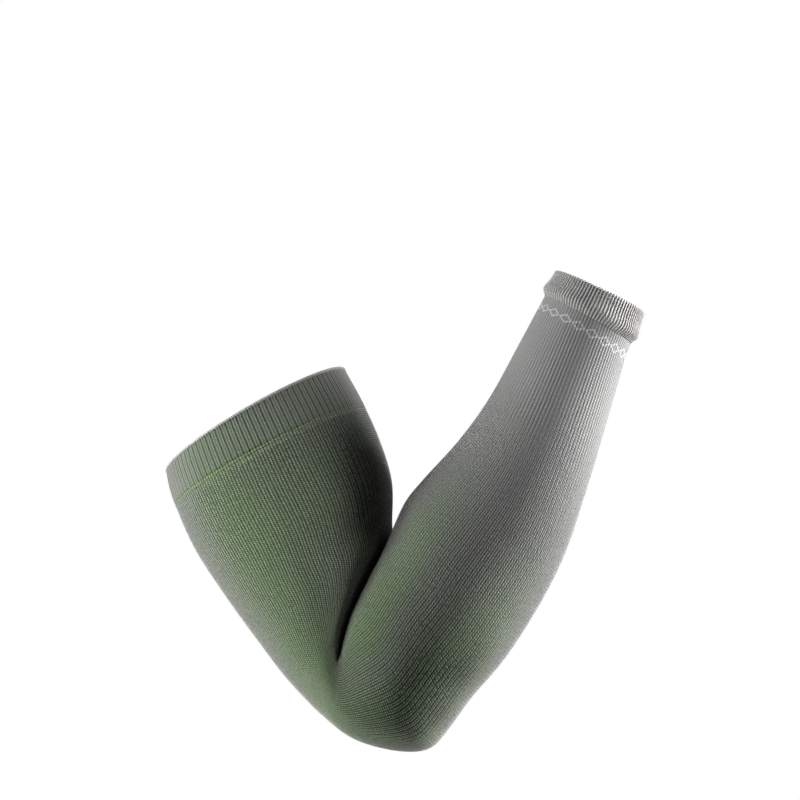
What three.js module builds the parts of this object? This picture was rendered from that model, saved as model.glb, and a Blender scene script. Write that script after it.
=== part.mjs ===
// Arm compression sleeve: a ribbed knitted tube that keeps the form of a strongly bent arm.
// Millimetres, +Z up. The origin is the centre of the elbow joint. +X runs from the upper arm
// towards the forearm, and +Y is the elbow's hinge axis. The sleeve is alike on both sides of Y = 0.
import * as THREE from "three";

// Driving sizes of the whole sleeve.
const sleeve = {
  upperArmLength: 165, // elbow centre to the biceps rim
  forearmLength: 230, // elbow centre to the wrist rim
  upperArmLean: 30, // degrees that the upper arm leans from the vertical
  forearmLean: 26, // degrees that the forearm leans the other way
  bicepsWidth: 109, // across the upper arm, in the plane of the bend
  bicepsDepth: 96, // across the upper arm, along the hinge axis
  forearmWidth: 78,
  forearmDepth: 90,
  wristWidth: 51,
  wristDepth: 50,
  elbowReach: 32, // elbow centre to the point of the elbow
  elbowDepth: 81,
  wall: 1.2, // thickness of the single knit
};

// The fold in the crook of the elbow, where the two limbs press together.
const fold = {
  rise: 19.6, // bottom of the fold above the elbow centre, along the bend's bisector
  setback: 31.6, // bottom of the fold behind that bisector, on the upper arm's side
  depth: 74, // bottom of the fold to its mouth
  tilt: 19.5, // degrees that the fold leans from the bisector
  gap: 0.8, // between the two faces of the knit
  wave: 1.0, // how far the middle of the fold stands towards the forearm, and its sides back
  sharp: 0.004, // rounding of the fold's bottom at the middle, as a share of the length
  soft: 0.0415, // the same on the sleeve's sides
};

// Band round the upper arm: one thicker course of ribs with a bead at its rim.
const upperCuff = { height: 23.5, wall: 1.5, lift: 0.15, beadHeight: 2.2, beadLift: 0.5 };

// The marker line of one knitted course between the upper cuff and the body.
const markerCourse = { height: 1.6, lift: 0.35 };

// Band round the wrist: knitted double and turned in at its rim, over the end of the body.
const wristCuff = { height: 17.5, outerLayer: 1.3, innerLayer: 0.9, turnedIn: 8, turn: 2.2, roll: 0.8 };

const clearance = 0.3; // between one piece and the next
const wallSteps = 36; // points round the girth
const bodyRows = 46; // courses along the body

const table = (columns, ...rows) =>
  rows.map((row) => Object.fromEntries(columns.map((column, i) => [column, row[i]])));

// Edges of the sleeve in the plane of the bend. along is a share of the limb's length, across a
// share of the half width that the row's frame names. Elbow rows are shares of elbowReach, and
// fold rows shares of the fold's depth, with open as shares of half its gap.
const outerEdgeRows = table(["frame", "along", "across"],
  ["upper", 1.000, 1.000], ["upper", 0.945, 1.057], ["upper", 0.867, 1.101],
  ["upper", 0.733, 1.136], ["upper", 0.542, 1.099], ["upper", 0.385, 1.044],
  ["upper", 0.224, 0.974], ["upper", 0.061, 0.840],
  ["elbow", -0.769, -0.919], ["elbow", -0.988, -0.125], ["elbow", -0.944, 0.269],
  ["elbow", -0.659, 0.563],
  ["fore", 0.038, 0.751], ["fore", 0.152, 0.931], ["fore", 0.313, 1.051], ["fore", 0.435, 1.056],
  ["fore", 0.557, 0.969], ["wrist", 0.743, 1.216], ["wrist", 0.900, 0.988], ["wrist", 1.000, 0.925]);

const innerEdgeRows = table(["frame", "along", "across", "open"],
  ["upper", 1.000, -0.980], ["upper", 0.879, -0.973], ["upper", 0.739, -0.930],
  ["upper", 0.612, -0.833],
  ["fold", 1.00, -0.002, -4.0], ["fold", 0.85, 0.026, -1.6], ["fold", 0.62, 0.011, -1.0],
  ["fold", 0.44, -0.012, -1.0], ["fold", 0.25, -0.026, -1.0], ["fold", 0.05, -0.006, -0.9],
  ["fold", 0.00, 0.000, 0.0],
  ["fold", 0.05, -0.006, 0.9], ["fold", 0.25, -0.026, 1.0], ["fold", 0.44, -0.012, 1.0],
  ["fold", 0.62, 0.011, 1.0], ["fold", 0.85, 0.026, 1.6], ["fold", 1.00, 0.008, 6.0],
  ["fore", 0.385, -1.156], ["fore", 0.441, -1.077], ["fore", 0.559, -0.874],
  ["wrist", 0.670, -1.161], ["wrist", 0.826, -1.082], ["wrist", 0.922, -1.043],
  ["wrist", 1.000, -1.012]);

// Sections at shares of the sleeve's length. depth is a share of half the named depth. lag is how
// far the outer edge's end of a course falls behind, because the knit gathers in the crook.
// The exponents of the inner and outer halves are 2 for an ellipse and more for a squarer form.
const sectionRows = table(["share", "follows", "depth", "lag", "innerPower", "outerPower"],
  [0.00, "bicepsDepth", 0.98, 0.000, 2.0, 2.0],
  [0.06, "bicepsDepth", 0.99, -0.020, 2.1, 2.0],
  [0.14, "bicepsDepth", 1.00, -0.020, 2.3, 2.0],
  [0.22, "bicepsDepth", 0.96, -0.020, 2.8, 2.0],
  [0.32, "elbowDepth", 1.04, -0.022, 5.0, 2.1],
  [0.42, "elbowDepth", 1.00, -0.044, 5.2, 2.2],
  [0.50, "forearmDepth", 0.965, -0.044, 4.6, 2.2],
  [0.60, "forearmDepth", 0.995, -0.022, 2.4, 2.1],
  [0.70, "forearmDepth", 0.86, -0.006, 2.1, 2.0],
  [0.80, "forearmDepth", 0.70, 0.000, 2.0, 2.0],
  [0.92, "wristDepth", 1.04, 0.000, 2.0, 2.0],
  [1.00, "wristDepth", 0.98, 0.000, 2.0, 2.0]);

const radians = THREE.MathUtils.degToRad;
const plane = (x, z) => new THREE.Vector3(x, 0, z);
const mix = THREE.MathUtils.lerp;

// Frames of the table rows: where each starts, its two directions and the sizes that they follow.
function makeFrames() {
  const upperAlong = plane(-Math.sin(radians(sleeve.upperArmLean)), Math.cos(radians(sleeve.upperArmLean)));
  const foreAlong = plane(Math.sin(radians(sleeve.forearmLean)), Math.cos(radians(sleeve.forearmLean)));
  const bisector = upperAlong.clone().add(foreAlong).normalize();
  const acrossOf = (along, side) => plane(along.z * side, -along.x * side);
  const foldAlong = bisector.clone().applyAxisAngle(new THREE.Vector3(0, 1, 0), radians(fold.tilt));
  const bisectorAcross = acrossOf(bisector, 1);
  const foldBottom = bisector.clone().multiplyScalar(fold.rise).addScaledVector(bisectorAcross, -fold.setback);
  const frame = (along, across, length, halfWidth, start = plane(0, 0)) =>
    ({ along, across, length, halfWidth, start });
  return {
    upper: frame(upperAlong, acrossOf(upperAlong, -1), sleeve.upperArmLength, sleeve.bicepsWidth / 2),
    elbow: frame(bisector, bisectorAcross, sleeve.elbowReach, sleeve.elbowReach),
    fold: frame(foldAlong, acrossOf(foldAlong, 1), fold.depth, fold.depth, foldBottom),
    fore: frame(foreAlong, acrossOf(foreAlong, 1), sleeve.forearmLength, sleeve.forearmWidth / 2),
    wrist: frame(foreAlong, acrossOf(foreAlong, 1), sleeve.forearmLength, sleeve.wristWidth / 2),
  };
}

const frames = makeFrames();

// An edge as a smooth curve through its rows, with at(share) by equal length.
function makeEdge(rows) {
  const points = rows.map((row) => {
    const frame = frames[row.frame];
    const across = row.across * frame.halfWidth + (row.open ?? 0) * fold.gap / 2;
    return frame.start.clone().addScaledVector(frame.along, row.along * frame.length)
      .addScaledVector(frame.across, across);
  });
  const stepsPerRow = 40;
  const line = new THREE.CatmullRomCurve3(points, false, "centripetal")
    .getPoints(stepsPerRow * (points.length - 1));
  const lengths = [0];
  for (let i = 1; i < line.length; i++) lengths.push(lengths[i - 1] + line[i].distanceTo(line[i - 1]));
  const length = lengths.at(-1);
  const at = (share) => {
    const reach = THREE.MathUtils.clamp(share, 0, 1) * length;
    let low = 0;
    let high = lengths.length - 1;
    while (high - low > 1) {
      const middle = (low + high) >> 1;
      if (lengths[middle] <= reach) low = middle;
      else high = middle;
    }
    return line[low].clone().lerp(line[high], (reach - lengths[low]) / (lengths[high] - lengths[low]));
  };
  const shareOfRow = (index) => lengths[index * stepsPerRow] / length;
  return { at, length, shareOfRow };
}

const outerEdge = makeEdge(outerEdgeRows);
const innerEdge = makeEdge(innerEdgeRows);
const foldBottomRow = innerEdgeRows.findIndex((row) => row.frame === "fold" && row.along === 0);
const foldShare = innerEdge.shareOfRow(foldBottomRow);
const foldBottom = innerEdge.at(foldShare);

// A column of the section table at any share: a cubic between rows that never overshoots them.
function makeColumn(value) {
  const x = sectionRows.map((row) => row.share);
  const y = sectionRows.map(value);
  const last = x.length - 1;
  const slope = (i) => (y[i + 1] - y[i]) / (x[i + 1] - x[i]);
  const tangent = x.map((_, i) => {
    if (i === 0) return slope(0);
    if (i === last) return slope(last - 1);
    const before = slope(i - 1);
    const after = slope(i);
    return before * after > 0 ? 2 * before * after / (before + after) : 0;
  });
  return (share) => {
    const s = THREE.MathUtils.clamp(share, x[0], x[last]);
    const next = x.findIndex((knot) => knot > s);
    const i = (next < 0 ? last : next) - 1;
    const width = x[i + 1] - x[i];
    const u = (s - x[i]) / width;
    return y[i] * (1 + 2 * u) * (1 - u) ** 2 + y[i + 1] * u * u * (3 - 2 * u)
      + width * (tangent[i] * u * (1 - u) ** 2 - tangent[i + 1] * u * u * (1 - u));
  };
}

const column = {
  halfDepth: makeColumn((row) => row.depth * sleeve[row.follows] / 2),
  lag: makeColumn((row) => row.lag),
  innerPower: makeColumn((row) => row.innerPower),
  outerPower: makeColumn((row) => row.outerPower),
};

// Point of a course before its stitches are spread evenly. Its place across the sleeve is c, from
// 1 at the outer edge to -1 at the inner one, on a rounded section. Away from the middle the fold
// is rounded more, by adding what the inner edge moves before and after the fold. The faces of the
// fold also wave across the arm, within waveReach of the fold, so that no light passes between them.
const foldRounding = { from: -0.99, to: -0.3 };
const waveReach = 0.19;

function coursePoint(share, angle) {
  const cosine = Math.cos(angle);
  const sine = Math.sin(angle);
  const power = 2 / (cosine < 0 ? column.innerPower(share) : column.outerPower(share));
  const c = Math.sign(cosine) * Math.abs(cosine) ** power;
  const s = Math.sign(sine) * Math.abs(sine) ** power;
  const rounding = mix(fold.sharp, fold.soft, THREE.MathUtils.smoothstep(c, foldRounding.from, foldRounding.to));
  const past = share - foldShare;
  const eased = (x) => (x >= rounding ? x : x <= -rounding ? 0 : (x + rounding) ** 2 / (4 * rounding));
  const inner = innerEdge.at(foldShare + eased(past)).add(innerEdge.at(foldShare - eased(-past))).sub(foldBottom);
  const wave = fold.wave * Math.cos(Math.PI * s) * Math.exp(-((past / waveReach) ** 4));
  inner.addScaledVector(frames.fold.across, wave);
  const outer = outerEdge.at(share + column.lag(share));
  const point = inner.multiplyScalar((1 - c) / 2).addScaledVector(outer, (1 + c) / 2);
  point.y = -column.halfDepth(share) * s;
  return point;
}

// One course: wallSteps points at equal lengths of the girth, each with the direction round it.
function makeCourse(share) {
  const fineSteps = 240;
  const loop = [];
  for (let i = 0; i <= fineSteps; i++) loop.push(coursePoint(share, 2 * Math.PI * i / fineSteps));
  const lengths = [0];
  for (let i = 1; i <= fineSteps; i++) lengths.push(lengths[i - 1] + loop[i].distanceTo(loop[i - 1]));
  const girth = lengths[fineSteps];
  const at = (turn) => {
    const reach = (turn - Math.floor(turn)) * girth;
    const i = Math.min(Math.max(lengths.findIndex((length) => length > reach) - 1, 0), fineSteps - 1);
    return loop[i].clone().lerp(loop[i + 1], (reach - lengths[i]) / (lengths[i + 1] - lengths[i]));
  };
  const halfStep = 0.25 / wallSteps;
  return Array.from({ length: wallSteps }, (_, i) => {
    const turn = i / wallSteps;
    return { point: at(turn), round: at(turn + halfStep).sub(at(turn - halfStep)).normalize() };
  });
}

// The same course lifted off the body's face along the outward normal.
function liftedCourse(share, lift) {
  const step = 0.0015;
  const low = THREE.MathUtils.clamp(share - step, 0, 1);
  const high = THREE.MathUtils.clamp(share + step, 0, 1);
  const before = makeCourse(low);
  const after = makeCourse(high);
  return makeCourse(share).map(({ point, round }, i) => {
    const along = after[i].point.clone().sub(before[i].point);
    const outward = along.cross(round).normalize();
    return point.addScaledVector(outward, lift);
  });
}

// A piece as a ring: its profile is a closed list of [share, lift], towards the wrist on the outside
// and back towards the biceps on the inside, and each entry is one course round the arm.
function makeRing(name, profile, material) {
  const courses = profile.map(([share, lift]) => liftedCourse(share, lift));
  const positions = courses.flat().flatMap((point) => point.toArray());
  const indices = [];
  const vertex = (row, turn) => (row % courses.length) * wallSteps + (turn % wallSteps);
  for (let row = 0; row < courses.length; row++) {
    for (let turn = 0; turn < wallSteps; turn++) {
      const a = vertex(row, turn);
      const b = vertex(row + 1, turn);
      const c = vertex(row + 1, turn + 1);
      const d = vertex(row, turn + 1);
      indices.push(a, b, c, a, c, d);
    }
  }
  const geometry = new THREE.BufferGeometry();
  geometry.setAttribute("position", new THREE.Float32BufferAttribute(positions, 3));
  geometry.setIndex(indices);
  geometry.computeVertexNormals();
  const mesh = new THREE.Mesh(geometry, material);
  mesh.name = name;
  return mesh;
}

// Shares of the length at a distance from either rim.
const fromBiceps = (distance) => distance / innerEdge.length;
const fromWrist = (distance) => 1 - distance / outerEdge.length;

// Courses of the body stand closest where the inner edge turns round the bottom of the fold.
function bodyShares(start, end) {
  const crowding = (share) => 1 + 6 * Math.exp(-(((share - foldShare) / 0.02) ** 2))
    + 1.2 * Math.exp(-(((share - foldShare) / 0.09) ** 2));
  const fineSteps = 2000;
  const counts = [0];
  for (let i = 1; i <= fineSteps; i++) {
    counts.push(counts[i - 1] + crowding(mix(start, end, (i - 0.5) / fineSteps)));
  }
  return Array.from({ length: bodyRows + 1 }, (_, row) => {
    const wanted = counts[fineSteps] * row / bodyRows;
    const i = Math.max(counts.findIndex((count) => count >= wanted), 1);
    return mix(start, end, (i - 1 + (wanted - counts[i - 1]) / (counts[i] - counts[i - 1])) / fineSteps);
  });
}

function makeBody(material) {
  const start = fromBiceps(upperCuff.height + markerCourse.height + 2 * clearance);
  const end = fromWrist(wristCuff.turn + 2 * clearance);
  const shares = bodyShares(start, end);
  const outside = shares.map((share) => [share, 0]);
  const inside = shares.map((share) => [share, -sleeve.wall]).reverse();
  return makeRing("sleeve_body", [...outside, ...inside], material);
}

function makeUpperCuff(material) {
  const { height, wall, lift, beadHeight, beadLift } = upperCuff;
  const profile = [
    [0, lift], [0.3 * beadHeight, beadLift], [0.8 * beadHeight, beadLift], [beadHeight, lift],
    [0.55 * height, lift], [height, lift], [height, lift - wall], [0.55 * height, lift - wall],
    [beadHeight, lift - wall], [0, lift - wall],
  ];
  return makeRing("upper_cuff", profile.map(([distance, off]) => [fromBiceps(distance), off]), material);
}

function makeMarkerCourse(material) {
  const start = upperCuff.height + clearance;
  const { height, lift } = markerCourse;
  const profile = [
    [0, 0], [0.25 * height, lift], [0.75 * height, lift], [height, 0], [height, -sleeve.wall], [0, -sleeve.wall],
  ];
  return makeRing("marker_course", profile.map(([distance, off]) => [fromBiceps(start + distance), off]), material);
}

function makeWristCuff(material) {
  const { height, outerLayer, innerLayer, turnedIn, turn, roll } = wristCuff;
  const face = clearance + outerLayer;
  const lining = -sleeve.wall - clearance;
  const profile = [
    [height, clearance], [turn, clearance], [turn, lining], [turnedIn, lining],
    [turnedIn, lining - innerLayer], [0.5 * turn, lining - innerLayer], [0, lining - 0.3 * innerLayer],
    [0, 0.3 * face], [0.08 * height, 0.8 * face], [0.45 * height, face + 0.3 * roll],
    [0.7 * height, face + roll], [0.88 * height, face + 0.7 * roll], [height, 0.6 * face],
  ];
  const courses = profile.map(([distance, off]) => [fromWrist(distance), off]);
  return makeRing("wrist_cuff", courses.reverse(), material);
}

const knit = (color, roughness) => new THREE.MeshStandardMaterial({ color, roughness, metalness: 0 });

const armSleeve = new THREE.Group();
armSleeve.add(makeBody(knit(0x6d7a6c, 0.85)));
armSleeve.add(makeUpperCuff(knit(0x5f7360, 0.85)));
armSleeve.add(makeMarkerCourse(knit(0x7fae5c, 0.8)));
armSleeve.add(makeWristCuff(knit(0x8a8f8c, 0.8)));

export default armSleeve;
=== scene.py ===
# Arm compression sleeve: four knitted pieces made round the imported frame.
import bpy
import numpy as np
from mathutils import Matrix, Vector


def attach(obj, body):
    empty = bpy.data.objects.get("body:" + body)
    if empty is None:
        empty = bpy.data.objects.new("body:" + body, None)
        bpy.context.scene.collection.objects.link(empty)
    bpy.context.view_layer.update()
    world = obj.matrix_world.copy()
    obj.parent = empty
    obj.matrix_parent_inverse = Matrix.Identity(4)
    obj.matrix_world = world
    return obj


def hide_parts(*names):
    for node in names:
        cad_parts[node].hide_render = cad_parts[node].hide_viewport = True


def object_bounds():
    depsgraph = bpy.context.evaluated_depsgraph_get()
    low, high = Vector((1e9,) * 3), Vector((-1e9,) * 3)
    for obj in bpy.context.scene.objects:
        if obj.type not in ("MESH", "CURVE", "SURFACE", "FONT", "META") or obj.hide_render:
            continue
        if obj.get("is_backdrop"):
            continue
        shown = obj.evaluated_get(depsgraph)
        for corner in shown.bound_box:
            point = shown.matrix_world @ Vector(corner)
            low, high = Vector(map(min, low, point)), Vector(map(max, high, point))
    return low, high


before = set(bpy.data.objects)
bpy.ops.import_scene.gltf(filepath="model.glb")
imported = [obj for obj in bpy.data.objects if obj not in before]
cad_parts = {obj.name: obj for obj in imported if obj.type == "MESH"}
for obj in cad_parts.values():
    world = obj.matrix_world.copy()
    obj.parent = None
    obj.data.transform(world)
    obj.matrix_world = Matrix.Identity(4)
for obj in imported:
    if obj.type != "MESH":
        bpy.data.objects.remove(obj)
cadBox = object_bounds()
print("frame loaded:", ", ".join(sorted(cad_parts)))

# Sizes of the sleeve in millimetres and degrees, as in the part's source.
sleeveForm = {
    "upperArmLength": 165, "upperArmLean": 30, "bicepsWidth": 109, "bicepsDepth": 96,
    "forearmLength": 230, "forearmLean": 26, "forearmWidth": 78, "forearmDepth": 90,
    "wristWidth": 51, "wristDepth": 50, "elbowReach": 32, "elbowDepth": 81,
    "foldRise": 19.6, "foldSetback": 31.6, "foldDepth": 74, "foldTilt": 19.5,
    "foldGap": 0.8, "foldWave": 1.0, "foldWaveReach": 0.19,
    "foldSharp": 0.004, "foldSoft": 0.0415, "foldSoftFrom": -0.99, "foldSoftTo": -0.3,
    "wall": 1.2, "clearance": 0.3,
}

# Rows of the two edges in the plane of the bend: frame, share along, share across, fold opening.
outerEdgeRows = [
    ("upper", 1.000, 1.000, 0), ("upper", 0.945, 1.057, 0), ("upper", 0.867, 1.101, 0),
    ("upper", 0.733, 1.136, 0), ("upper", 0.542, 1.099, 0), ("upper", 0.385, 1.044, 0),
    ("upper", 0.224, 0.974, 0), ("upper", 0.061, 0.840, 0),
    ("elbow", -0.769, -0.919, 0), ("elbow", -0.988, -0.125, 0), ("elbow", -0.944, 0.269, 0),
    ("elbow", -0.659, 0.563, 0),
    ("fore", 0.038, 0.751, 0), ("fore", 0.152, 0.931, 0), ("fore", 0.313, 1.051, 0),
    ("fore", 0.435, 1.056, 0), ("fore", 0.557, 0.969, 0),
    ("wrist", 0.743, 1.216, 0), ("wrist", 0.900, 0.988, 0), ("wrist", 1.000, 0.925, 0),
]
innerEdgeRows = [
    ("upper", 1.000, -0.980, 0), ("upper", 0.879, -0.973, 0), ("upper", 0.739, -0.930, 0),
    ("upper", 0.612, -0.833, 0),
    ("fold", 1.00, -0.002, -4.0), ("fold", 0.85, 0.026, -1.6), ("fold", 0.62, 0.011, -1.0),
    ("fold", 0.44, -0.012, -1.0), ("fold", 0.25, -0.026, -1.0), ("fold", 0.05, -0.006, -0.9),
    ("fold", 0.00, 0.000, 0.0),
    ("fold", 0.05, -0.006, 0.9), ("fold", 0.25, -0.026, 1.0), ("fold", 0.44, -0.012, 1.0),
    ("fold", 0.62, 0.011, 1.0), ("fold", 0.85, 0.026, 1.6), ("fold", 1.00, 0.008, 6.0),
    ("fore", 0.385, -1.156, 0), ("fore", 0.441, -1.077, 0), ("fore", 0.559, -0.874, 0),
    ("wrist", 0.670, -1.161, 0), ("wrist", 0.826, -1.082, 0), ("wrist", 0.922, -1.043, 0),
    ("wrist", 1.000, -1.012, 0),
]

# Sections: share of the length, depth that they follow, share of it, lag, inner and outer power.
sectionRows = [
    (0.00, "bicepsDepth", 0.98, 0.000, 2.0, 2.0), (0.06, "bicepsDepth", 0.99, -0.020, 2.1, 2.0),
    (0.14, "bicepsDepth", 1.00, -0.020, 2.3, 2.0), (0.22, "bicepsDepth", 0.96, -0.020, 2.8, 2.0),
    (0.32, "elbowDepth", 1.04, -0.022, 5.0, 2.1), (0.42, "elbowDepth", 1.00, -0.044, 5.2, 2.2),
    (0.50, "forearmDepth", 0.965, -0.044, 4.6, 2.2), (0.60, "forearmDepth", 0.995, -0.022, 2.4, 2.1),
    (0.70, "forearmDepth", 0.86, -0.006, 2.1, 2.0), (0.80, "forearmDepth", 0.70, 0.000, 2.0, 2.0),
    (0.92, "wristDepth", 1.04, 0.000, 2.0, 2.0), (1.00, "wristDepth", 0.98, 0.000, 2.0, 2.0),
]

metresPerMm = 0.001


def makeFrames():
    # Each frame is two directions in the plane of the bend, a length, a half width and a start.
    upperLean, foreLean, foldTilt = np.radians([sleeveForm["upperArmLean"], sleeveForm["forearmLean"],
                                                sleeveForm["foldTilt"]])
    across = lambda along, side: np.array([along[1] * side, -along[0] * side])
    upperAlong = np.array([-np.sin(upperLean), np.cos(upperLean)])
    foreAlong = np.array([np.sin(foreLean), np.cos(foreLean)])
    bisector = (upperAlong + foreAlong) / np.linalg.norm(upperAlong + foreAlong)
    foldAlong = np.cos(foldTilt) * bisector + np.sin(foldTilt) * across(bisector, 1)
    foldBottom = sleeveForm["foldRise"] * bisector - sleeveForm["foldSetback"] * across(bisector, 1)
    elbow = np.zeros(2)
    return {
        "upper": (upperAlong, across(upperAlong, -1), sleeveForm["upperArmLength"],
                  sleeveForm["bicepsWidth"] / 2, elbow),
        "elbow": (bisector, across(bisector, 1), sleeveForm["elbowReach"], sleeveForm["elbowReach"], elbow),
        "fold": (foldAlong, across(foldAlong, 1), sleeveForm["foldDepth"],
                 sleeveForm["foldDepth"], foldBottom),
        "fore": (foreAlong, across(foreAlong, 1), sleeveForm["forearmLength"],
                 sleeveForm["forearmWidth"] / 2, elbow),
        "wrist": (foreAlong, across(foreAlong, 1), sleeveForm["forearmLength"],
                  sleeveForm["wristWidth"] / 2, elbow),
    }


frames = makeFrames()
samplesPerRow = 40


def makeEdge(rows):
    # Centripetal Catmull-Rom through the rows: each stretch is a cubic between two points, with
    # tangents weighed by the square roots of the three chords round it. Returns points and shares.
    points = []
    for name, share, shareAcross, opening in rows:
        along, across, length, halfWidth, start = frames[name]
        offset = shareAcross * halfWidth + opening * sleeveForm["foldGap"] / 2
        points.append(start + along * share * length + across * offset)
    points = np.array(points)
    p = np.vstack([2 * points[:1] - points[1:2], points, 2 * points[-1:] - points[-2:-1]])
    chord = np.diff(p, axis=0)
    knot = np.sqrt(np.linalg.norm(chord, axis=1))[:, None]
    before, here, after = knot[:-2], knot[1:-1], knot[2:]
    leave = (chord[:-2] / before - (p[2:-1] - p[:-3]) / (before + here) + chord[1:-1] / here) * here
    arrive = (chord[1:-1] / here - (p[3:] - p[1:-2]) / (here + after) + chord[2:] / after) * here
    u = np.linspace(0, 1, samplesPerRow, endpoint=False)[None, :, None]
    a, b, leave, arrive = p[1:-2][:, None], p[2:-1][:, None], leave[:, None], arrive[:, None]
    line = (a + leave * u + (3 * (b - a) - 2 * leave - arrive) * u ** 2
            + (2 * (a - b) + leave + arrive) * u ** 3)
    line = np.vstack([line.reshape(-1, 2), points[-1:]])
    lengths = np.concatenate([[0], np.cumsum(np.linalg.norm(np.diff(line, axis=0), axis=1))])
    return {"line": line, "share": lengths / lengths[-1], "length": lengths[-1]}


outerEdge = makeEdge(outerEdgeRows)
innerEdge = makeEdge(innerEdgeRows)
foldRow = [row[:2] for row in innerEdgeRows].index(("fold", 0.00))
foldShare = innerEdge["share"][foldRow * samplesPerRow]
foldBottom = innerEdge["line"][foldRow * samplesPerRow]


def edgeAt(edge, share):
    # Point of an edge at a share of its length, by straight steps between its samples.
    s = np.clip(share, 0, 1)
    return np.stack([np.interp(s, edge["share"], edge["line"][:, k]) for k in range(2)], -1)


def sectionColumn(values, share):
    # Cubic through the section rows whose tangents are harmonic means of the slopes beside them.
    x = np.array([row[0] for row in sectionRows])
    y = np.array(values, dtype=float)
    slope = np.diff(y) / np.diff(x)
    product, total = slope[:-1] * slope[1:], slope[:-1] + slope[1:]
    tangent = np.where(product > 0, 2 * product / np.where(total == 0, 1, total), 0)
    tangent = np.concatenate([slope[:1], tangent, slope[-1:]])
    s = np.clip(share, x[0], x[-1])
    i = np.clip(np.searchsorted(x, s, side="right") - 1, 0, len(x) - 2)
    width = x[i + 1] - x[i]
    u = (s - x[i]) / width
    return (y[i] * (1 + 2 * u) * (1 - u) ** 2 + y[i + 1] * u * u * (3 - 2 * u)
            + width * (tangent[i] * u * (1 - u) ** 2 - tangent[i + 1] * u * u * (1 - u)))


def smoothStep(low, high, x):
    u = np.clip((x - low) / (high - low), 0, 1)
    return u * u * (3 - 2 * u)


def courseGrid(share, angle):
    # Rounded sections laid between the two edges. c goes from 1 at the outer edge to -1 at the
    # inner one and s across the arm, both as powers of cosine and sine. The fold's bottom is
    # eased by adding what the inner edge moves before and after it, over a width that grows with c.
    share, angle = np.broadcast_arrays(share, angle)
    halfDepth = sectionColumn([row[2] * sleeveForm[row[1]] / 2 for row in sectionRows], share)
    lag = sectionColumn([row[3] for row in sectionRows], share)
    cosine, sine = np.cos(angle), np.sin(angle)
    power = 2 / np.where(cosine < 0, sectionColumn([row[4] for row in sectionRows], share),
                         sectionColumn([row[5] for row in sectionRows], share))
    c = np.sign(cosine) * np.abs(cosine) ** power
    s = np.sign(sine) * np.abs(sine) ** power
    soft = smoothStep(sleeveForm["foldSoftFrom"], sleeveForm["foldSoftTo"], c)
    rounding = sleeveForm["foldSharp"] + (sleeveForm["foldSoft"] - sleeveForm["foldSharp"]) * soft
    past = share - foldShare
    curve = lambda x: (x + rounding) ** 2 / (4 * rounding)
    eased = lambda x: np.where(x >= rounding, x, np.where(x <= -rounding, 0, curve(x)))
    inner = (edgeAt(innerEdge, foldShare + eased(past)) + edgeAt(innerEdge, foldShare - eased(-past))
             - foldBottom)
    wave = sleeveForm["foldWave"] * np.cos(np.pi * s) * np.exp(-(past / sleeveForm["foldWaveReach"]) ** 4)
    inner = inner + wave[..., None] * frames["fold"][1]
    outer = edgeAt(outerEdge, share + lag)
    flat = inner * ((1 - c) / 2)[..., None] + outer * ((1 + c) / 2)[..., None]
    return np.stack([flat[..., 0], -halfDepth * s, flat[..., 1]], -1)


girthSamples = 721
rowSpacing = 2.0


def sleeveSurface(shares, turns):
    # The same sections with their points spread at equal lengths round each girth. The rows are set
    # apart on one line, so that a single interpolation serves them all.
    rows = np.asarray(shares, dtype=float).reshape(-1, 1)
    angles = np.linspace(0, 2 * np.pi, girthSamples)[None, :]
    loops = courseGrid(rows, angles)
    steps = np.linalg.norm(np.diff(loops, axis=1), axis=-1)
    lengths = np.concatenate([np.zeros((len(rows), 1)), np.cumsum(steps, axis=1)], 1)
    rowStart = rowSpacing * np.arange(len(rows))[:, None]
    known = (rowStart + lengths / lengths[:, -1:]).ravel()
    wanted = rowStart + np.mod(np.asarray(turns, dtype=float), 1.0)
    return np.stack([np.interp(wanted, known, loops[..., k].ravel()) for k in range(3)], -1)


def surfaceNormals(shares, turns):
    # Outward normal: cross product of the steps along the sleeve and round it.
    step, turnStep = 0.0012, 0.003
    along = (sleeveSurface(np.clip(np.asarray(shares) + step, 0, 1), turns)
             - sleeveSurface(np.clip(np.asarray(shares) - step, 0, 1), turns))
    around = (sleeveSurface(shares, np.asarray(turns) + turnStep)
              - sleeveSurface(shares, np.asarray(turns) - turnStep))
    normal = np.cross(along, around)
    return normal / np.linalg.norm(normal, axis=-1, keepdims=True)


def ribGroove(shares, turns, look):
    # 0 on a rib's crest and 1 in its groove. Every second groove is deeper, and towards the wrist
    # only those are left, so that two ribs become one.
    fine = np.sin(np.pi * look["Ribs"] * turns) ** 2
    paired = np.sin(np.pi * (look["Ribs"] / 2 * turns + 0.25)) ** 2
    near = smoothStep(look["Pair From"], look["Pair To"], shares)[:, None]
    pairing = look["Pair Base"] + (1 - look["Pair Base"]) * near
    return fine[None, :] * (1 - pairing) + paired[None, :] * pairing


# Where the green yarn shows between the grey ribs: share, turn, their half spreads and strength.
greenSpots = [
    (0.16, 0.17, 0.22, 0.100, 1.0),
    (0.36, 0.20, 0.08, 0.110, 0.8),
    (0.48, 0.13, 0.09, 0.085, 0.9),
    (0.56, 0.33, 0.13, 0.060, 0.9),
    (0.58, 0.12, 0.11, 0.080, 0.70),
    (0.475, 0.30, 0.05, 0.050, 0.5),
    (0.15, 0.34, 0.14, 0.110, 0.6),
]

# Where the knit is stretched at the elbow, so that its dark core shows between the stitches, and
# painted shade on the upper arm beside the crook, where the forearm shades it: share, turn, their
# half spreads and strength.
coreAndShadeSpots = [
    (0.515, 0.15, 0.05, 0.07, 1.0),
    (0.560, 0.23, 0.07, 0.06, 0.5),
    (0.550, 0.10, 0.05, 0.05, 1.0),
    # Painted shade: this row darkens the upper arm beside the crook, where the forearm shades it.
    (0.170, 0.40, 0.09, 0.05, 1.3),
]


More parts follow.
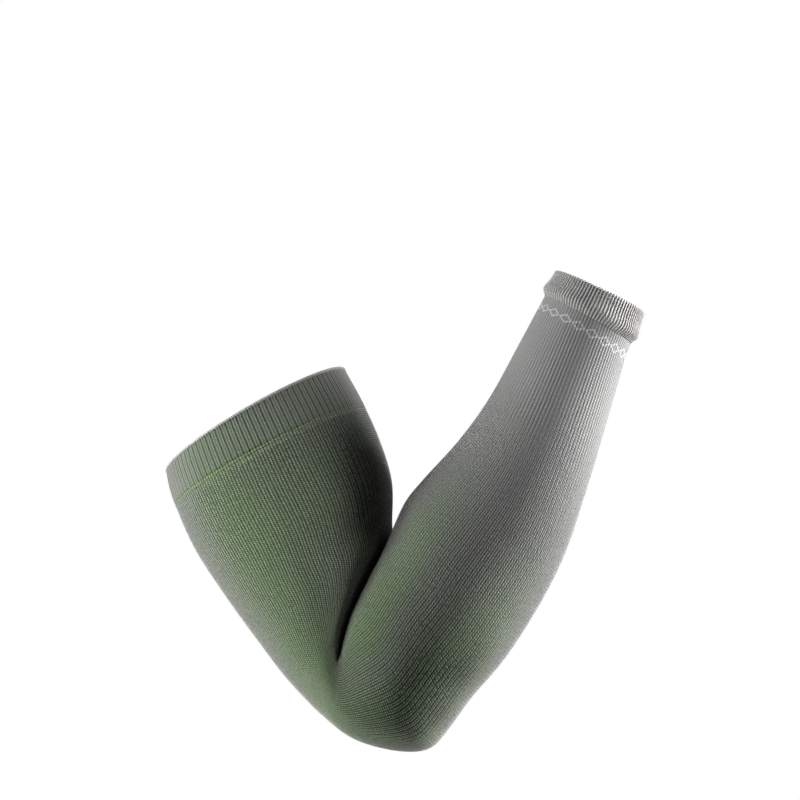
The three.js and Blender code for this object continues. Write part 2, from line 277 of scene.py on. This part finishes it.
def spotShow(spots, share, turn):
    # Sum of soft spots, alike on both sides of the arm: each falls off as exp(-(distance ** 2)).
    side = np.minimum(turn, 1 - turn)
    total = 0
    for atShare, atTurn, shareSpread, turnSpread, strength in spots:
        total = total + strength * np.exp(-((share - atShare) / shareSpread) ** 2
                                          - ((side - atTurn) / turnSpread) ** 2)
    return np.clip(total, 0, 1)


def ringMesh(name, shares, lifts, look, ribRelief, scallop=0, rimShow=0):
    # A closed ring: row k of the profile is a course at shares[k], lifted off the sleeve's face by
    # lifts[k], less ribRelief[k] in the grooves, and scallop[k] more along the ribs' crests. Its
    # points keep how much of the rim's yarn and the green yarn shows there, and how much of the dark
    # core and the painted shade.
    shares, lifts = np.asarray(shares, dtype=float), np.asarray(lifts, dtype=float)
    turnCount = look["Ribs"] * look["perRib"]
    turns = np.arange(turnCount) / turnCount
    groove = ribGroove(shares, turns, look)
    place = sleeveSurface(shares, turns)
    normal = surfaceNormals(shares, turns)
    sunk = np.reshape(ribRelief, (-1, 1)) * groove
    raised = np.reshape(scallop, (-1, 1)) * (1 - groove)
    lift = lifts[:, None] - sunk + raised
    vertices = (place + normal * lift[..., None]) * metresPerMm
    rowCount = len(shares)
    count = rowCount * turnCount
    row, turn = np.meshgrid(np.arange(rowCount), np.arange(turnCount), indexing="ij")
    nextRow, nextTurn = (row + 1) % rowCount, (turn + 1) % turnCount
    corner = lambda r, t: r * turnCount + t
    faces = np.stack([corner(row, turn), corner(nextRow, turn),
                      corner(nextRow, nextTurn), corner(row, nextTurn)], -1)
    wrapped = np.stack([turn, turn, turn + 1, turn + 1], -1)
    faceRows = np.stack([row, nextRow, nextRow, row], -1)
    turnEnds = np.append(turns, turns[0] + 1)
    uv = np.stack([turnEnds[wrapped], shares[faceRows]], -1)
    mesh = bpy.data.meshes.new(name)
    mesh.vertices.add(count)
    mesh.vertices.foreach_set("co", vertices.reshape(-1).astype(np.float32))
    mesh.loops.add(4 * count)
    mesh.loops.foreach_set("vertex_index", faces.reshape(-1).astype(np.int32))
    mesh.polygons.add(count)
    mesh.polygons.foreach_set("loop_start", np.arange(0, 4 * count, 4, dtype=np.int32))
    mesh.polygons.foreach_set("use_smooth", np.ones(count, dtype=bool))
    mesh.update(calc_edges=True)
    layer = mesh.uv_layers.new(name="knit")
    layer.data.foreach_set("uv", uv.reshape(-1).astype(np.float32))
    shows = {"rimShow": np.reshape(rimShow, (-1, 1))}
    for layerName, spots in (("greenShow", greenSpots), ("coreAndShadeShow", coreAndShadeSpots)):
        shows[layerName] = spotShow(spots, shares[:, None], np.mod(turns, 1.0)[None, :])
    for layerName, show in shows.items():
        attribute = mesh.attributes.new(layerName, "FLOAT", "POINT")
        values = np.broadcast_to(show, lift.shape).reshape(-1)
        attribute.data.foreach_set("value", values.astype(np.float32))
    piece = bpy.data.objects.new(name, mesh)
    bpy.context.scene.collection.objects.link(piece)
    return piece


def fromBiceps(distance):
    return np.asarray(distance, dtype=float) / innerEdge["length"]


def fromWrist(distance):
    return 1 - np.asarray(distance, dtype=float) / outerEdge["length"]


# Shader nodes
def mathNode(tree, operation, a, b=None):
    node = tree.nodes.new("ShaderNodeMath")
    node.operation = operation
    for socket, value in zip(node.inputs, (a, b)):
        if value is None:
            continue
        if isinstance(value, (int, float)):
            socket.default_value = value
        else:
            tree.links.new(value, socket)
    return node.outputs[0]


def mixColours(tree, factor, first, second):
    node = tree.nodes.new("ShaderNodeMix")
    node.data_type = "RGBA"
    for name, value in (("Factor", factor), ("A", first), ("B", second)):
        socket = [s for s in node.inputs if s.name == name and (name == "Factor" or s.type == "RGBA")][0]
        if isinstance(value, (int, float, tuple)):
            socket.default_value = value
        else:
            tree.links.new(value, socket)
    return [s for s in node.outputs if s.type == "RGBA"][0]


def smoothRange(tree, value, low, high):
    node = tree.nodes.new("ShaderNodeMapRange")
    node.interpolation_type = "SMOOTHSTEP"
    tree.links.new(value, node.inputs["Value"])
    for name, limit in (("From Min", low), ("From Max", high)):
        if isinstance(limit, (int, float)):
            node.inputs[name].default_value = limit
        else:
            tree.links.new(limit, node.inputs[name])
    return node.outputs["Result"]


def knitCoordinates(tree):
    # Turn round the tube and share along it, from the piece's own coordinates.
    uvMap = tree.nodes.new("ShaderNodeUVMap")
    uvMap.uv_map = "knit"
    parts = tree.nodes.new("ShaderNodeSeparateXYZ")
    tree.links.new(uvMap.outputs[0], parts.inputs[0])
    return parts.outputs[0], parts.outputs[1]


# What the knit group is given: masks from the piece's points, then values and colours of its look.
knitMasks = {"greenShow": "Green Show", "coreAndShadeShow": "Core And Shade Show"}
knitValues = ["Ribs", "Courses", "Stitch Depth", "Fleck", "Sway", "Crest From", "Crest To",
              "Pair Base", "Pair From", "Pair To", "Wrist Gain", "Wrist Blend"]
knitColours = ["Grey Crest", "Green Crest", "Grey Groove", "Green Groove"]

# What is alike in all the knit: flecks for each rib and course, the shares of the length where the
# yarn gets paler, how much darker it is between stitches, and how much the mask of dark core and
# painted shade pairs the ribs, darkens grooves and crests (painted shade beside the crook) and tints
# the crests with the core's yarn.
knitPattern = {
    "fleckAcross": 1.9, "fleckAlong": 1.1, "paleFrom": 0.62, "paleTo": 0.92, "stitchDark": 0.6,
    "corePairing": 0.25, "coreAndShadeGroove": 0.8, "coreAndShadeCrest": 0.36, "coreTint": 0.3,
    "coreYarn": (0.31, 0.48, 0.24),
}


def makeKnitGroup():
    # Rib mask: half a cosine of the rib count, 1 on crests, made steeper between two limits. A share
    # of a cosine of half as many ribs deepens every second groove: the pair base, more where the
    # core shows and where shade is painted, and all of it past the pair limits. Each course sways a rib
    # to and fro. Stitch mask: a cosine of the course count, leaning so that two neighbours make a V.
    # Fleck: noise along the yarn. Both colours are darker between two stitches, where the core shows
    # at the elbow, and with painted shade beside the crook. Towards the wrist the yarn gets paler and
    # its grooves come closer to the crests.
    group = bpy.data.node_groups.new("ribKnit", "ShaderNodeTree")
    for name in [*knitMasks.values(), *knitValues]:
        group.interface.new_socket(name, in_out="INPUT", socket_type="NodeSocketFloat")
    for name in knitColours:
        group.interface.new_socket(name, in_out="INPUT", socket_type="NodeSocketColor")
    group.interface.new_socket("Colour", in_out="OUTPUT", socket_type="NodeSocketColor")
    group.interface.new_socket("Height", in_out="OUTPUT", socket_type="NodeSocketFloat")
    given = group.nodes.new("NodeGroupInput").outputs
    result = group.nodes.new("NodeGroupOutput").inputs
    plus = lambda a, b: mathNode(group, "ADD", a, b)
    less = lambda a, b: mathNode(group, "SUBTRACT", a, b)
    times = lambda a, b: mathNode(group, "MULTIPLY", a, b)
    cosine = lambda a: mathNode(group, "COSINE", a)
    turn, share = knitCoordinates(group)

    course = times(share, given["Courses"])
    sway = mathNode(group, "SINE", times(course, 2 * np.pi))
    rib = plus(times(turn, given["Ribs"]), times(sway, given["Sway"]))
    fineWave = cosine(times(rib, 2 * np.pi))
    pairWave = cosine(times(plus(rib, 0.5), np.pi))
    near = smoothRange(group, share, given["Pair From"], given["Pair To"])
    coreAndShadePairing = times(given["Core And Shade Show"], knitPattern["corePairing"])
    pairing = mathNode(group, "MAXIMUM", near, plus(given["Pair Base"], coreAndShadePairing))
    ribWave = plus(times(fineWave, less(1.0, pairing)), times(pairWave, pairing))
    crest = plus(times(ribWave, 0.5), 0.5)

    stitchPhase = plus(course, mathNode(group, "PINGPONG", rib, 0.5))
    stitch = plus(times(cosine(times(stitchPhase, 2 * np.pi)), 0.5), 0.5)
    stitchShare = times(stitch, given["Stitch Depth"])
    flecks = group.nodes.new("ShaderNodeTexNoise")
    flecks.inputs["Scale"].default_value = 1.0
    flecks.inputs["Detail"].default_value = 1.0
    place = group.nodes.new("ShaderNodeCombineXYZ")
    group.links.new(times(rib, knitPattern["fleckAcross"]), place.inputs[0])
    group.links.new(times(course, knitPattern["fleckAlong"]), place.inputs[1])
    group.links.new(place.outputs[0], flecks.inputs["Vector"])
    fleck = times(less(flecks.outputs["Fac"], 0.5), given["Fleck"])
    steep = smoothRange(group, crest, given["Crest From"], given["Crest To"])
    clamp = group.nodes.new("ShaderNodeClamp")
    group.links.new(plus(less(steep, stitchShare), fleck), clamp.inputs["Value"])
    crestMask = clamp.outputs[0]

    crestColour = mixColours(group, given["Green Show"], given["Grey Crest"], given["Green Crest"])
    tinted = times(given["Core And Shade Show"], knitPattern["coreTint"])
    crestColour = mixColours(group, tinted, crestColour, (*knitPattern["coreYarn"], 1))
    grooveColour = mixColours(group, given["Green Show"], given["Grey Groove"], given["Green Groove"])
    pale = smoothRange(group, share, knitPattern["paleFrom"], knitPattern["paleTo"])
    shallow = mixColours(group, times(pale, given["Wrist Blend"]), grooveColour, crestColour)
    mixed = mixColours(group, crestMask, shallow, crestColour)
    gain = plus(times(pale, given["Wrist Gain"]), 1.0)
    # Painted shade: where the mask covers the upper arm beside the crook, this darkening is shade painted
    # into the colour; at the elbow it is the dark core.
    coreAndShadeRange = knitPattern["coreAndShadeGroove"] - knitPattern["coreAndShadeCrest"]
    coreAndShadeDark = less(knitPattern["coreAndShadeGroove"], times(crestMask, coreAndShadeRange))
    dark = plus(times(stitchShare, knitPattern["stitchDark"]), times(given["Core And Shade Show"], coreAndShadeDark))
    shaded = group.nodes.new("ShaderNodeVectorMath")
    shaded.operation = "SCALE"
    group.links.new(mixed, shaded.inputs[0])
    group.links.new(times(gain, less(1.0, dark)), shaded.inputs["Scale"])
    group.links.new(shaded.outputs[0], result["Colour"])
    group.links.new(less(crest, stitchShare), result["Height"])
    return group


knitGroup = makeKnitGroup()


def motifMask(tree, motif):
    # Chain of lozenge outlines: 1 where the distance across a lozenge's width, plus that across its
    # height, both as shares of its half size, is near the outline, and less past its soft edge.
    turn, share = knitCoordinates(tree)
    repeat = mathNode(tree, "MULTIPLY", turn, motif["count"])
    wide = mathNode(tree, "MULTIPLY", mathNode(tree, "PINGPONG", repeat, 0.5), 2)
    offCentre = mathNode(tree, "SUBTRACT", share, float(fromWrist(motif["fromRim"])))
    halfHeights = 2 * outerEdge["length"] / motif["height"]
    high = mathNode(tree, "MULTIPLY", mathNode(tree, "ABSOLUTE", offCentre), halfHeights)
    fromOutline = mathNode(tree, "SUBTRACT", mathNode(tree, "ADD", wide, high), motif["outline"])
    full, none = (1 - motif["soft"]) * motif["line"], (1 + motif["soft"]) * motif["line"]
    away = smoothRange(tree, mathNode(tree, "ABSOLUTE", fromOutline), full, none)
    return mathNode(tree, "SUBTRACT", 1.0, away)


def knitMaterial(name, look):
    # Knit group into base colour and bump, with a rough shader and the sheen of fine yarn.
    material = bpy.data.materials.new(name)
    material.use_nodes = True
    tree = material.node_tree
    shader = tree.nodes["Principled BSDF"]
    knit = tree.nodes.new("ShaderNodeGroup")
    knit.node_tree = knitGroup
    for socket in knitValues:
        knit.inputs[socket].default_value = look[socket]
    for socket in knitColours:
        knit.inputs[socket].default_value = (*look[socket], 1)
    for layerName, socket in knitMasks.items():
        show = tree.nodes.new("ShaderNodeAttribute")
        show.attribute_name = layerName
        tree.links.new(show.outputs["Fac"], knit.inputs[socket])
    bump = tree.nodes.new("ShaderNodeBump")
    bump.inputs["Strength"].default_value = look["bump"]
    bump.inputs["Distance"].default_value = look["bumpDistance"]
    tree.links.new(knit.outputs["Height"], bump.inputs["Height"])
    tree.links.new(bump.outputs[0], shader.inputs["Normal"])
    rim = tree.nodes.new("ShaderNodeAttribute")
    rim.attribute_name = "rimShow"
    colour = mixColours(tree, rim.outputs["Fac"], knit.outputs["Colour"], (*look["Rim"], 1))
    if "motif" in look:
        mask = mathNode(tree, "MULTIPLY", motifMask(tree, look["motif"]), look["motif"]["strength"])
        colour = mixColours(tree, mask, colour, (*look["motif"]["colour"], 1))
    tree.links.new(colour, shader.inputs["Base Color"])
    shader.inputs["Roughness"].default_value = look["roughness"]
    shader.inputs["Specular IOR Level"].default_value = look["specular"]
    shader.inputs["Sheen Weight"].default_value = look["sheen"]
    shader.inputs["Sheen Roughness"].default_value = look["sheenRoughness"]
    shader.inputs["Sheen Tint"].default_value = (*look["sheenTint"], 1)
    return material


def finishPiece(piece, node, material):
    piece.data.materials.append(material)
    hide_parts(node)
    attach(piece, "root")
    print(piece.name, "made:", len(piece.data.polygons) * 2, "triangles")
    return piece


# Generic woven motif below the wrist cuff: millimetres from the rim, lozenges round the tube, and
# its outline, line and soft edge as shares.
lozengeMotif = {
    "fromRim": 25, "height": 5.5, "count": 20, "outline": 0.85, "line": 0.18, "soft": 0.5,
    "colour": (0.80, 0.81, 0.84), "strength": 0.65,
}

# Body of the sleeve: fine ribs from the marker line to inside the wrist cuff. Rows crowd round the
# fold's bottom in bells, each a height and a half width.
bodyKnit = {
    "Ribs": 192, "perRib": 2, "relief": 0.32, "reliefFade": 0.9, "rows": 196, "innerRows": 46,
    "rowBells": [(5, 0.02), (0.6, 0.09)], "rowSamples": 4001,
    "Courses": 340, "Stitch Depth": 0.4, "Fleck": 1.9, "Sway": 0.1, "Crest From": 0.32, "Crest To": 0.88,
    "Pair Base": 0.2, "Pair From": 0.72, "Pair To": 0.92, "Wrist Gain": 0.13, "Wrist Blend": 0.52,
    "Grey Crest": (0.44, 0.434, 0.43), "Green Crest": (0.36, 0.465, 0.29),
    "Grey Groove": (0.075, 0.076, 0.074), "Green Groove": (0.08, 0.132, 0.055),
    "Rim": (0.5, 0.5, 0.46), "bump": 0.6, "bumpDistance": 0.0004, "roughness": 0.8, "specular": 0.25,
    "sheen": 0.5, "sheenRoughness": 0.45, "sheenTint": (1.0, 0.98, 0.97),
}

pieceGap = 0.06  # millimetres between two pieces
edgeTurn = 0.25  # rounding at the lower edge of a cuff


def crowdedShares(start, end, rows):
    # Rows at equal steps of the integral of 1 plus the bells round the fold's bottom.
    fine = np.linspace(start, end, bodyKnit["rowSamples"])
    density = np.ones(len(fine))
    for height, reach in bodyKnit["rowBells"]:
        density = density + height * np.exp(-((fine - foldShare) / reach) ** 2)
    total = np.concatenate([[0], np.cumsum((density[1:] + density[:-1]) / 2)])
    return np.interp(np.linspace(0, total[-1], rows), total, fine)


def makeBody():
    # Ribbed face outside and a plain face one wall deeper. The relief fades where the ribs pair.
    start = fromBiceps(upperCuffKnit["height"] + markerKnit["height"] + 2 * pieceGap)
    end = fromWrist(wristKnit["turn"] + 2 * pieceGap)
    outside = crowdedShares(start, end, bodyKnit["rows"])
    inside = crowdedShares(start, end, bodyKnit["innerRows"])[::-1]
    shares = np.concatenate([outside, inside])
    lifts = np.concatenate([np.zeros(len(outside)), np.full(len(inside), -sleeveForm["wall"])])
    paired = smoothStep(bodyKnit["Pair From"], bodyKnit["Pair To"], outside)
    ribbed = bodyKnit["relief"] * (1 - bodyKnit["reliefFade"] * paired)
    relief = np.concatenate([ribbed, np.zeros(len(inside))])
    return ringMesh("sleeve_body_knit", shares, lifts, bodyKnit, relief)


# Cuff round the upper arm: the same ribs, broader, with a bead of pale yarn at its rim. The bead
# turns between two angles, and its crest and foot are shares of its height.
upperCuffKnit = {
    **bodyKnit, "perRib": 4, "relief": 0.12, "height": 23.5, "wall": 1.5, "lift": 0.15,
    "beadHeight": 2.2, "beadLift": 0.55, "beadTurn": (-80, 90), "beadRows": 9, "beadCrest": 0.45,
    "beadFade": (-0.6, 0.3), "footFrom": 0.55, "footRows": 5, "footShow": [0.7, 0.3, 0.1, 0],
    "faceRows": 20, "edgeRelief": 0.9, "insideRow": 0.55,
    "Stitch Depth": 0.15, "Crest From": 0.1, "Crest To": 0.8, "Pair Base": 0.36, "Fleck": 0.8, "Sway": 0.0,
    "Grey Crest": (0.31, 0.31, 0.295), "Green Crest": (0.26, 0.335, 0.215),
    "Grey Groove": (0.085, 0.088, 0.08), "Green Groove": (0.08, 0.128, 0.062),
}


def makeUpperCuff():
    # Rounded bead at the rim, then an even face, an even inside and a small turn at the lower end.
    height, wall, lift = upperCuffKnit["height"], upperCuffKnit["wall"], upperCuffKnit["lift"]
    bead, beadLift = upperCuffKnit["beadHeight"], upperCuffKnit["beadLift"]
    turnBack = np.radians(np.linspace(*upperCuffKnit["beadTurn"], upperCuffKnit["beadRows"]))
    half = (wall + beadLift - lift) / 2
    beadDistance = upperCuffKnit["beadCrest"] * bead * (1 - np.cos(turnBack))
    beadOut = beadLift - half + half * np.sin(turnBack)
    foot = np.linspace(upperCuffKnit["footFrom"], 1.0, upperCuffKnit["footRows"])[1:] * bead
    footTurn = np.linspace(0, np.pi / 2, upperCuffKnit["footRows"])[1:]
    footLift = lift + (beadLift - lift) * np.cos(footTurn) ** 2
    face = np.linspace(bead, height - edgeTurn, upperCuffKnit["faceRows"])[1:]
    inside = [upperCuffKnit["insideRow"] * height, bead]
    distance = np.concatenate([beadDistance, foot, face, [height, height], inside])
    lifts = np.concatenate([beadOut, footLift, np.full(len(face), lift), [lift - edgeTurn, lift - wall],
                            [lift - wall, lift - wall]])
    ribbed = np.ones(len(foot) + len(face))
    outside = np.concatenate([np.clip(np.sin(turnBack), 0.0, 1), ribbed,
                              [upperCuffKnit["edgeRelief"], 0, 0, 0]])
    relief = upperCuffKnit["relief"] * outside
    beadShow = smoothStep(*upperCuffKnit["beadFade"], np.sin(turnBack))
    rimShow = np.concatenate([beadShow, upperCuffKnit["footShow"], np.zeros(len(face) + 4)])
    return ringMesh("upper_cuff_knit", fromBiceps(distance), lifts, upperCuffKnit, relief, rimShow=rimShow)


# Marker line: one course of bright green yarn. Its profile gives share of the height, lift and
# share of the relief.
markerKnit = {
    **bodyKnit, "perRib": 4, "relief": 0.25, "height": 1.6, "Courses": 620,
    "profile": [(0, -0.2, 0.6), (0.12, 0.02, 1), (0.3, 0.12, 1), (0.5, 0.15, 1), (0.7, 0.12, 1),
                (0.88, 0.02, 1), (1, -0.2, 0.6)],
    "Stitch Depth": 0.1, "Crest From": 0.15, "Crest To": 0.75,
    "Grey Crest": (0.28, 0.32, 0.22), "Green Crest": (0.34, 0.51, 0.21),
    "Grey Groove": (0.10, 0.12, 0.085), "Green Groove": (0.12, 0.20, 0.075),
}


def makeMarkerCourse():
    # A low round course outside, and an even inside one wall deeper.
    rows = np.array(markerKnit["profile"])
    inside = [-sleeveForm["wall"], -sleeveForm["wall"]]
    start = upperCuffKnit["height"] + pieceGap
    distance = start + markerKnit["height"] * np.append(rows[:, 0], [1, 0])
    lifts = np.append(rows[:, 1], inside)
    relief = markerKnit["relief"] * np.append(rows[:, 2], [0, 0])
    return ringMesh("marker_course_knit", fromBiceps(distance), lifts, markerKnit, relief)


# Wrist cuff: pale, coarser ribs, knitted double, turned in at its rim and rolled at its lower edge.
# The swell gives the face's lift at shares of the height. The scallop and the pale line at the rim
# are bells: height, middle and half width. The relief fades at the lower edge, which the edge's fade
# gives as its end, its reach and the least share.
wristKnit = {
    **bodyKnit, "perRib": 4, "Courses": 300, "height": 17.5, "outerLayer": 1.3, "innerLayer": 0.9,
    "turnedIn": 8, "turn": 2.2, "relief": 0.3, "Pair From": 0.2, "Pair To": 0.3,
    "rimTurn": (-85, 60), "rimRows": 12, "rimFace": 0.9, "rimRelief": (0.3, 0.5), "rimShow": 0.7,
    "rimFade": (-0.2, 0.8), "edgeFade": (1.03, 0.12, 0.25),
    "faceFrom": 0.05, "faceRows": 34, "insideRow": 0.55, "liningRow": 3.1,
    "swell": [(0.05, 0.86), (0.15, 0.88), (0.35, 1.00), (0.52, 1.28), (0.66, 1.72), (0.78, 1.70),
              (0.86, 1.35), (0.92, 0.75), (0.96, 0.35), (1.0, 0.16)],
    "scallop": (0.22, 0.7, 0.4), "rimLine": (0.5, 0.05, 0.03),
    "Stitch Depth": 0.15, "Fleck": 0.5, "Sway": 0.06, "Crest From": 0.05, "Crest To": 0.8,
    "Wrist Gain": 0.0, "Wrist Blend": 0.0,
    "Grey Crest": (0.60, 0.59, 0.58), "Green Crest": (0.60, 0.59, 0.58),
    "Grey Groove": (0.25, 0.246, 0.243), "Green Groove": (0.25, 0.246, 0.243), "Rim": (0.66, 0.65, 0.64),
}


def bell(shape, x):
    height, middle, reach = shape
    return height * np.exp(-((x - middle) / reach) ** 2)


def makeWristCuff():
    # From the lining's end round the rim, over the face and round the rolled edge to the slot. The
    # face is narrow at the rim, swells to its lower third and rounds in again under the roll.
    height, turn, turnedIn = wristKnit["height"], wristKnit["turn"], wristKnit["turnedIn"]
    face = sleeveForm["clearance"] + wristKnit["outerLayer"]
    lining = -sleeveForm["wall"] - pieceGap
    inner = lining - wristKnit["innerLayer"]
    rim = np.radians(np.linspace(*wristKnit["rimTurn"], wristKnit["rimRows"]))
    rimFace = wristKnit["rimFace"] * face
    middle, half = (rimFace + inner) / 2, (rimFace - inner) / 2
    down = np.linspace(wristKnit["faceFrom"], 1.0, wristKnit["faceRows"])
    knots = np.array(wristKnit["swell"])
    swell = np.interp(down, knots[:, 0], knots[:, 1])
    swell[1:-1] = (swell[:-2] + 2 * swell[1:-1] + swell[2:]) / 4
    distance = np.concatenate([[turnedIn, turnedIn, wristKnit["liningRow"]],
                               0.5 * turn * (1 - np.cos(rim)), down * height,
                               [height - edgeTurn, wristKnit["insideRow"] * height, turn, turn]])
    lifts = np.concatenate([[lining, inner, inner], middle + half * np.sin(rim), face * swell,
                            [pieceGap, pieceGap, pieceGap, lining]])
    rimRelief = wristKnit["rimRelief"][0] + wristKnit["rimRelief"][1] * np.sin(rim)
    rimFade = smoothStep(*wristKnit["rimFade"], np.sin(rim))
    edgeEnd, edgeReach, least = wristKnit["edgeFade"]
    outside = np.concatenate([np.zeros(3), np.clip(rimRelief, 0, 1),
                              np.clip((edgeEnd - down) / edgeReach, least, 1), np.zeros(4)])
    scallop = np.concatenate([np.zeros(3), bell(wristKnit["scallop"], rim), np.zeros(len(down) + 4)])
    rimShow = np.concatenate([np.zeros(3), wristKnit["rimShow"] * rimFade,
                              bell(wristKnit["rimLine"], down), np.zeros(4)])
    relief = wristKnit["relief"] * outside
    return ringMesh("wrist_cuff_knit", fromWrist(distance)[::-1], lifts[::-1], wristKnit, relief[::-1],
                    scallop[::-1], rimShow[::-1])


bodyMaterial = knitMaterial("bodyKnit", {**bodyKnit, "motif": lozengeMotif})
finishPiece(makeBody(), "sleeve_body", bodyMaterial)
finishPiece(makeUpperCuff(), "upper_cuff", knitMaterial("upperCuffKnit", upperCuffKnit))
finishPiece(makeMarkerCourse(), "marker_course", knitMaterial("markerKnit", markerKnit))
finishPiece(makeWristCuff(), "wrist_cuff", knitMaterial("wristKnit", wristKnit))


# Camera, in metres: back is the direction from the object towards the camera.
cameraSetting = {
    "place": (0.24243, -1.78982, -0.02531), "back": (0.13679, -0.98578, -0.09758),
    "lens": 155.8, "sensor": 36, "clip": (0.05, 50),
}


def makeCamera():
    data = bpy.data.cameras.new("photoCamera")
    data.lens, data.sensor_width = cameraSetting["lens"], cameraSetting["sensor"]
    data.clip_start, data.clip_end = cameraSetting["clip"]
    camera = bpy.data.objects.new("photoCamera", data)
    turn = Vector(cameraSetting["back"]).to_track_quat("Z", "Y")
    camera.matrix_world = Matrix.LocRotScale(Vector(cameraSetting["place"]), turn, None)
    bpy.context.scene.collection.objects.link(camera)
    bpy.context.scene.camera = camera


# Soft lamps: name, place and aim in metres, size in metres and power in watts. Each shines within
# lampSpread degrees, so that little light meets the floor.
lamps = [
    ("leftKey", (-1.30, -0.45, 0.75), (-0.14, 0.0, 0.03), 0.6, 1.65),
    ("leftFront", (-1.00, -1.20, 0.45), (-0.10, 0.0, 0.05), 0.6, 1.25),
    ("leftUnder", (-1.10, -0.70, -0.40), (0.0, 0.0, 0.09), 0.6, 0.5),
    ("leftBack", (-1.00, 0.50, -0.50), (0.0, 0.0, 0.09), 0.6, 1.6),
    ("rightRim", (1.25, 0.45, 0.50), (0.0, 0.0, 0.09), 0.6, 3.3),
    ("rightHigh", (1.00, 0.25, 1.10), (0.0, 0.0, 0.09), 0.6, 0.3),
    ("rightLow", (1.40, 0.20, 0.00), (0.0, 0.0, 0.09), 0.6, 2.9),
    ("backFill", (0.20, 1.60, 0.70), (0.0, 0.0, 0.09), 0.8, 0.6),
]
lampSpread = 60

# Floor in metres, and the greys and strengths of the floor and the world.
studioSetting = {
    "reach": 3.0, "level": -0.6, "floorGrey": 0.85, "floorRoughness": 0.9, "floorShown": 0.82,
    "worldColour": (0.95, 0.97, 1), "worldStrength": 0.02, "wallGrey": 1.0,
}


def makeLamps():
    for name, place, aim, size, power in lamps:
        data = bpy.data.lights.new(name, "AREA")
        data.shape, data.size, data.energy = "DISK", size, power
        data.spread = np.radians(lampSpread)
        lamp = bpy.data.objects.new(name, data)
        turn = (Vector(place) - Vector(aim)).to_track_quat("Z", "Y")
        lamp.matrix_world = Matrix.LocRotScale(Vector(place), turn, None)
        bpy.context.scene.collection.objects.link(lamp)


def seenBySight(tree, lit, shown, surface):
    # Camera rays see one shader, and all other rays meet the other.
    rays = tree.nodes.new("ShaderNodeLightPath")
    mix = tree.nodes.new("ShaderNodeMixShader")
    tree.links.new(rays.outputs["Is Camera Ray"], mix.inputs[0])
    tree.links.new(lit.outputs[0], mix.inputs[1])
    tree.links.new(shown.outputs[0], mix.inputs[2])
    tree.links.new(mix.outputs[0], surface)


def makeFloor():
    # A pale grey square that looks evenly lit from every side.
    reach, level = studioSetting["reach"], studioSetting["level"]
    grey, shownGrey = studioSetting["floorGrey"], studioSetting["floorShown"]
    mesh = bpy.data.meshes.new("studioFloor")
    corners = [(-reach, -reach, level), (reach, -reach, level),
               (reach, reach, level), (-reach, reach, level)]
    mesh.from_pydata(corners, [], [(0, 1, 2, 3)])
    floor = bpy.data.objects.new("studioFloor", mesh)
    bpy.context.scene.collection.objects.link(floor)
    material = bpy.data.materials.new("paleFloor")
    material.use_nodes = True
    tree = material.node_tree
    shader = tree.nodes["Principled BSDF"]
    shader.inputs["Base Color"].default_value = (grey, grey, grey, 1)
    shader.inputs["Roughness"].default_value = studioSetting["floorRoughness"]
    shown = tree.nodes.new("ShaderNodeEmission")
    shown.inputs["Color"].default_value = (shownGrey, shownGrey, shownGrey, 1)
    seenBySight(tree, shader, shown, tree.nodes["Material Output"].inputs["Surface"])
    mesh.materials.append(material)
    floor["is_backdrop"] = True


def makeWorld():
    # A white wall all round, which shines on nothing, and a faint even light.
    world = bpy.data.worlds.new("studioWorld")
    bpy.context.scene.world = world
    world.use_nodes = True
    tree = world.node_tree
    background = tree.nodes["Background"]
    background.inputs["Color"].default_value = (*studioSetting["worldColour"], 1)
    background.inputs["Strength"].default_value = studioSetting["worldStrength"]
    wall = tree.nodes.new("ShaderNodeBackground")
    wall.inputs["Color"].default_value = (*[studioSetting["wallGrey"]] * 3, 1)
    wall.inputs["Strength"].default_value = 1.0
    seenBySight(tree, background, wall, tree.nodes["World Output"].inputs["Surface"])
    bpy.context.scene.view_settings.view_transform = "Standard"


makeCamera()
makeLamps()
makeFloor()
makeWorld()
print("studio made:", len(lamps), "lamps")

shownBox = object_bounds()
sizes = {"frame": [list(corner) for corner in cadBox], "shown": [list(corner) for corner in shownBox]}
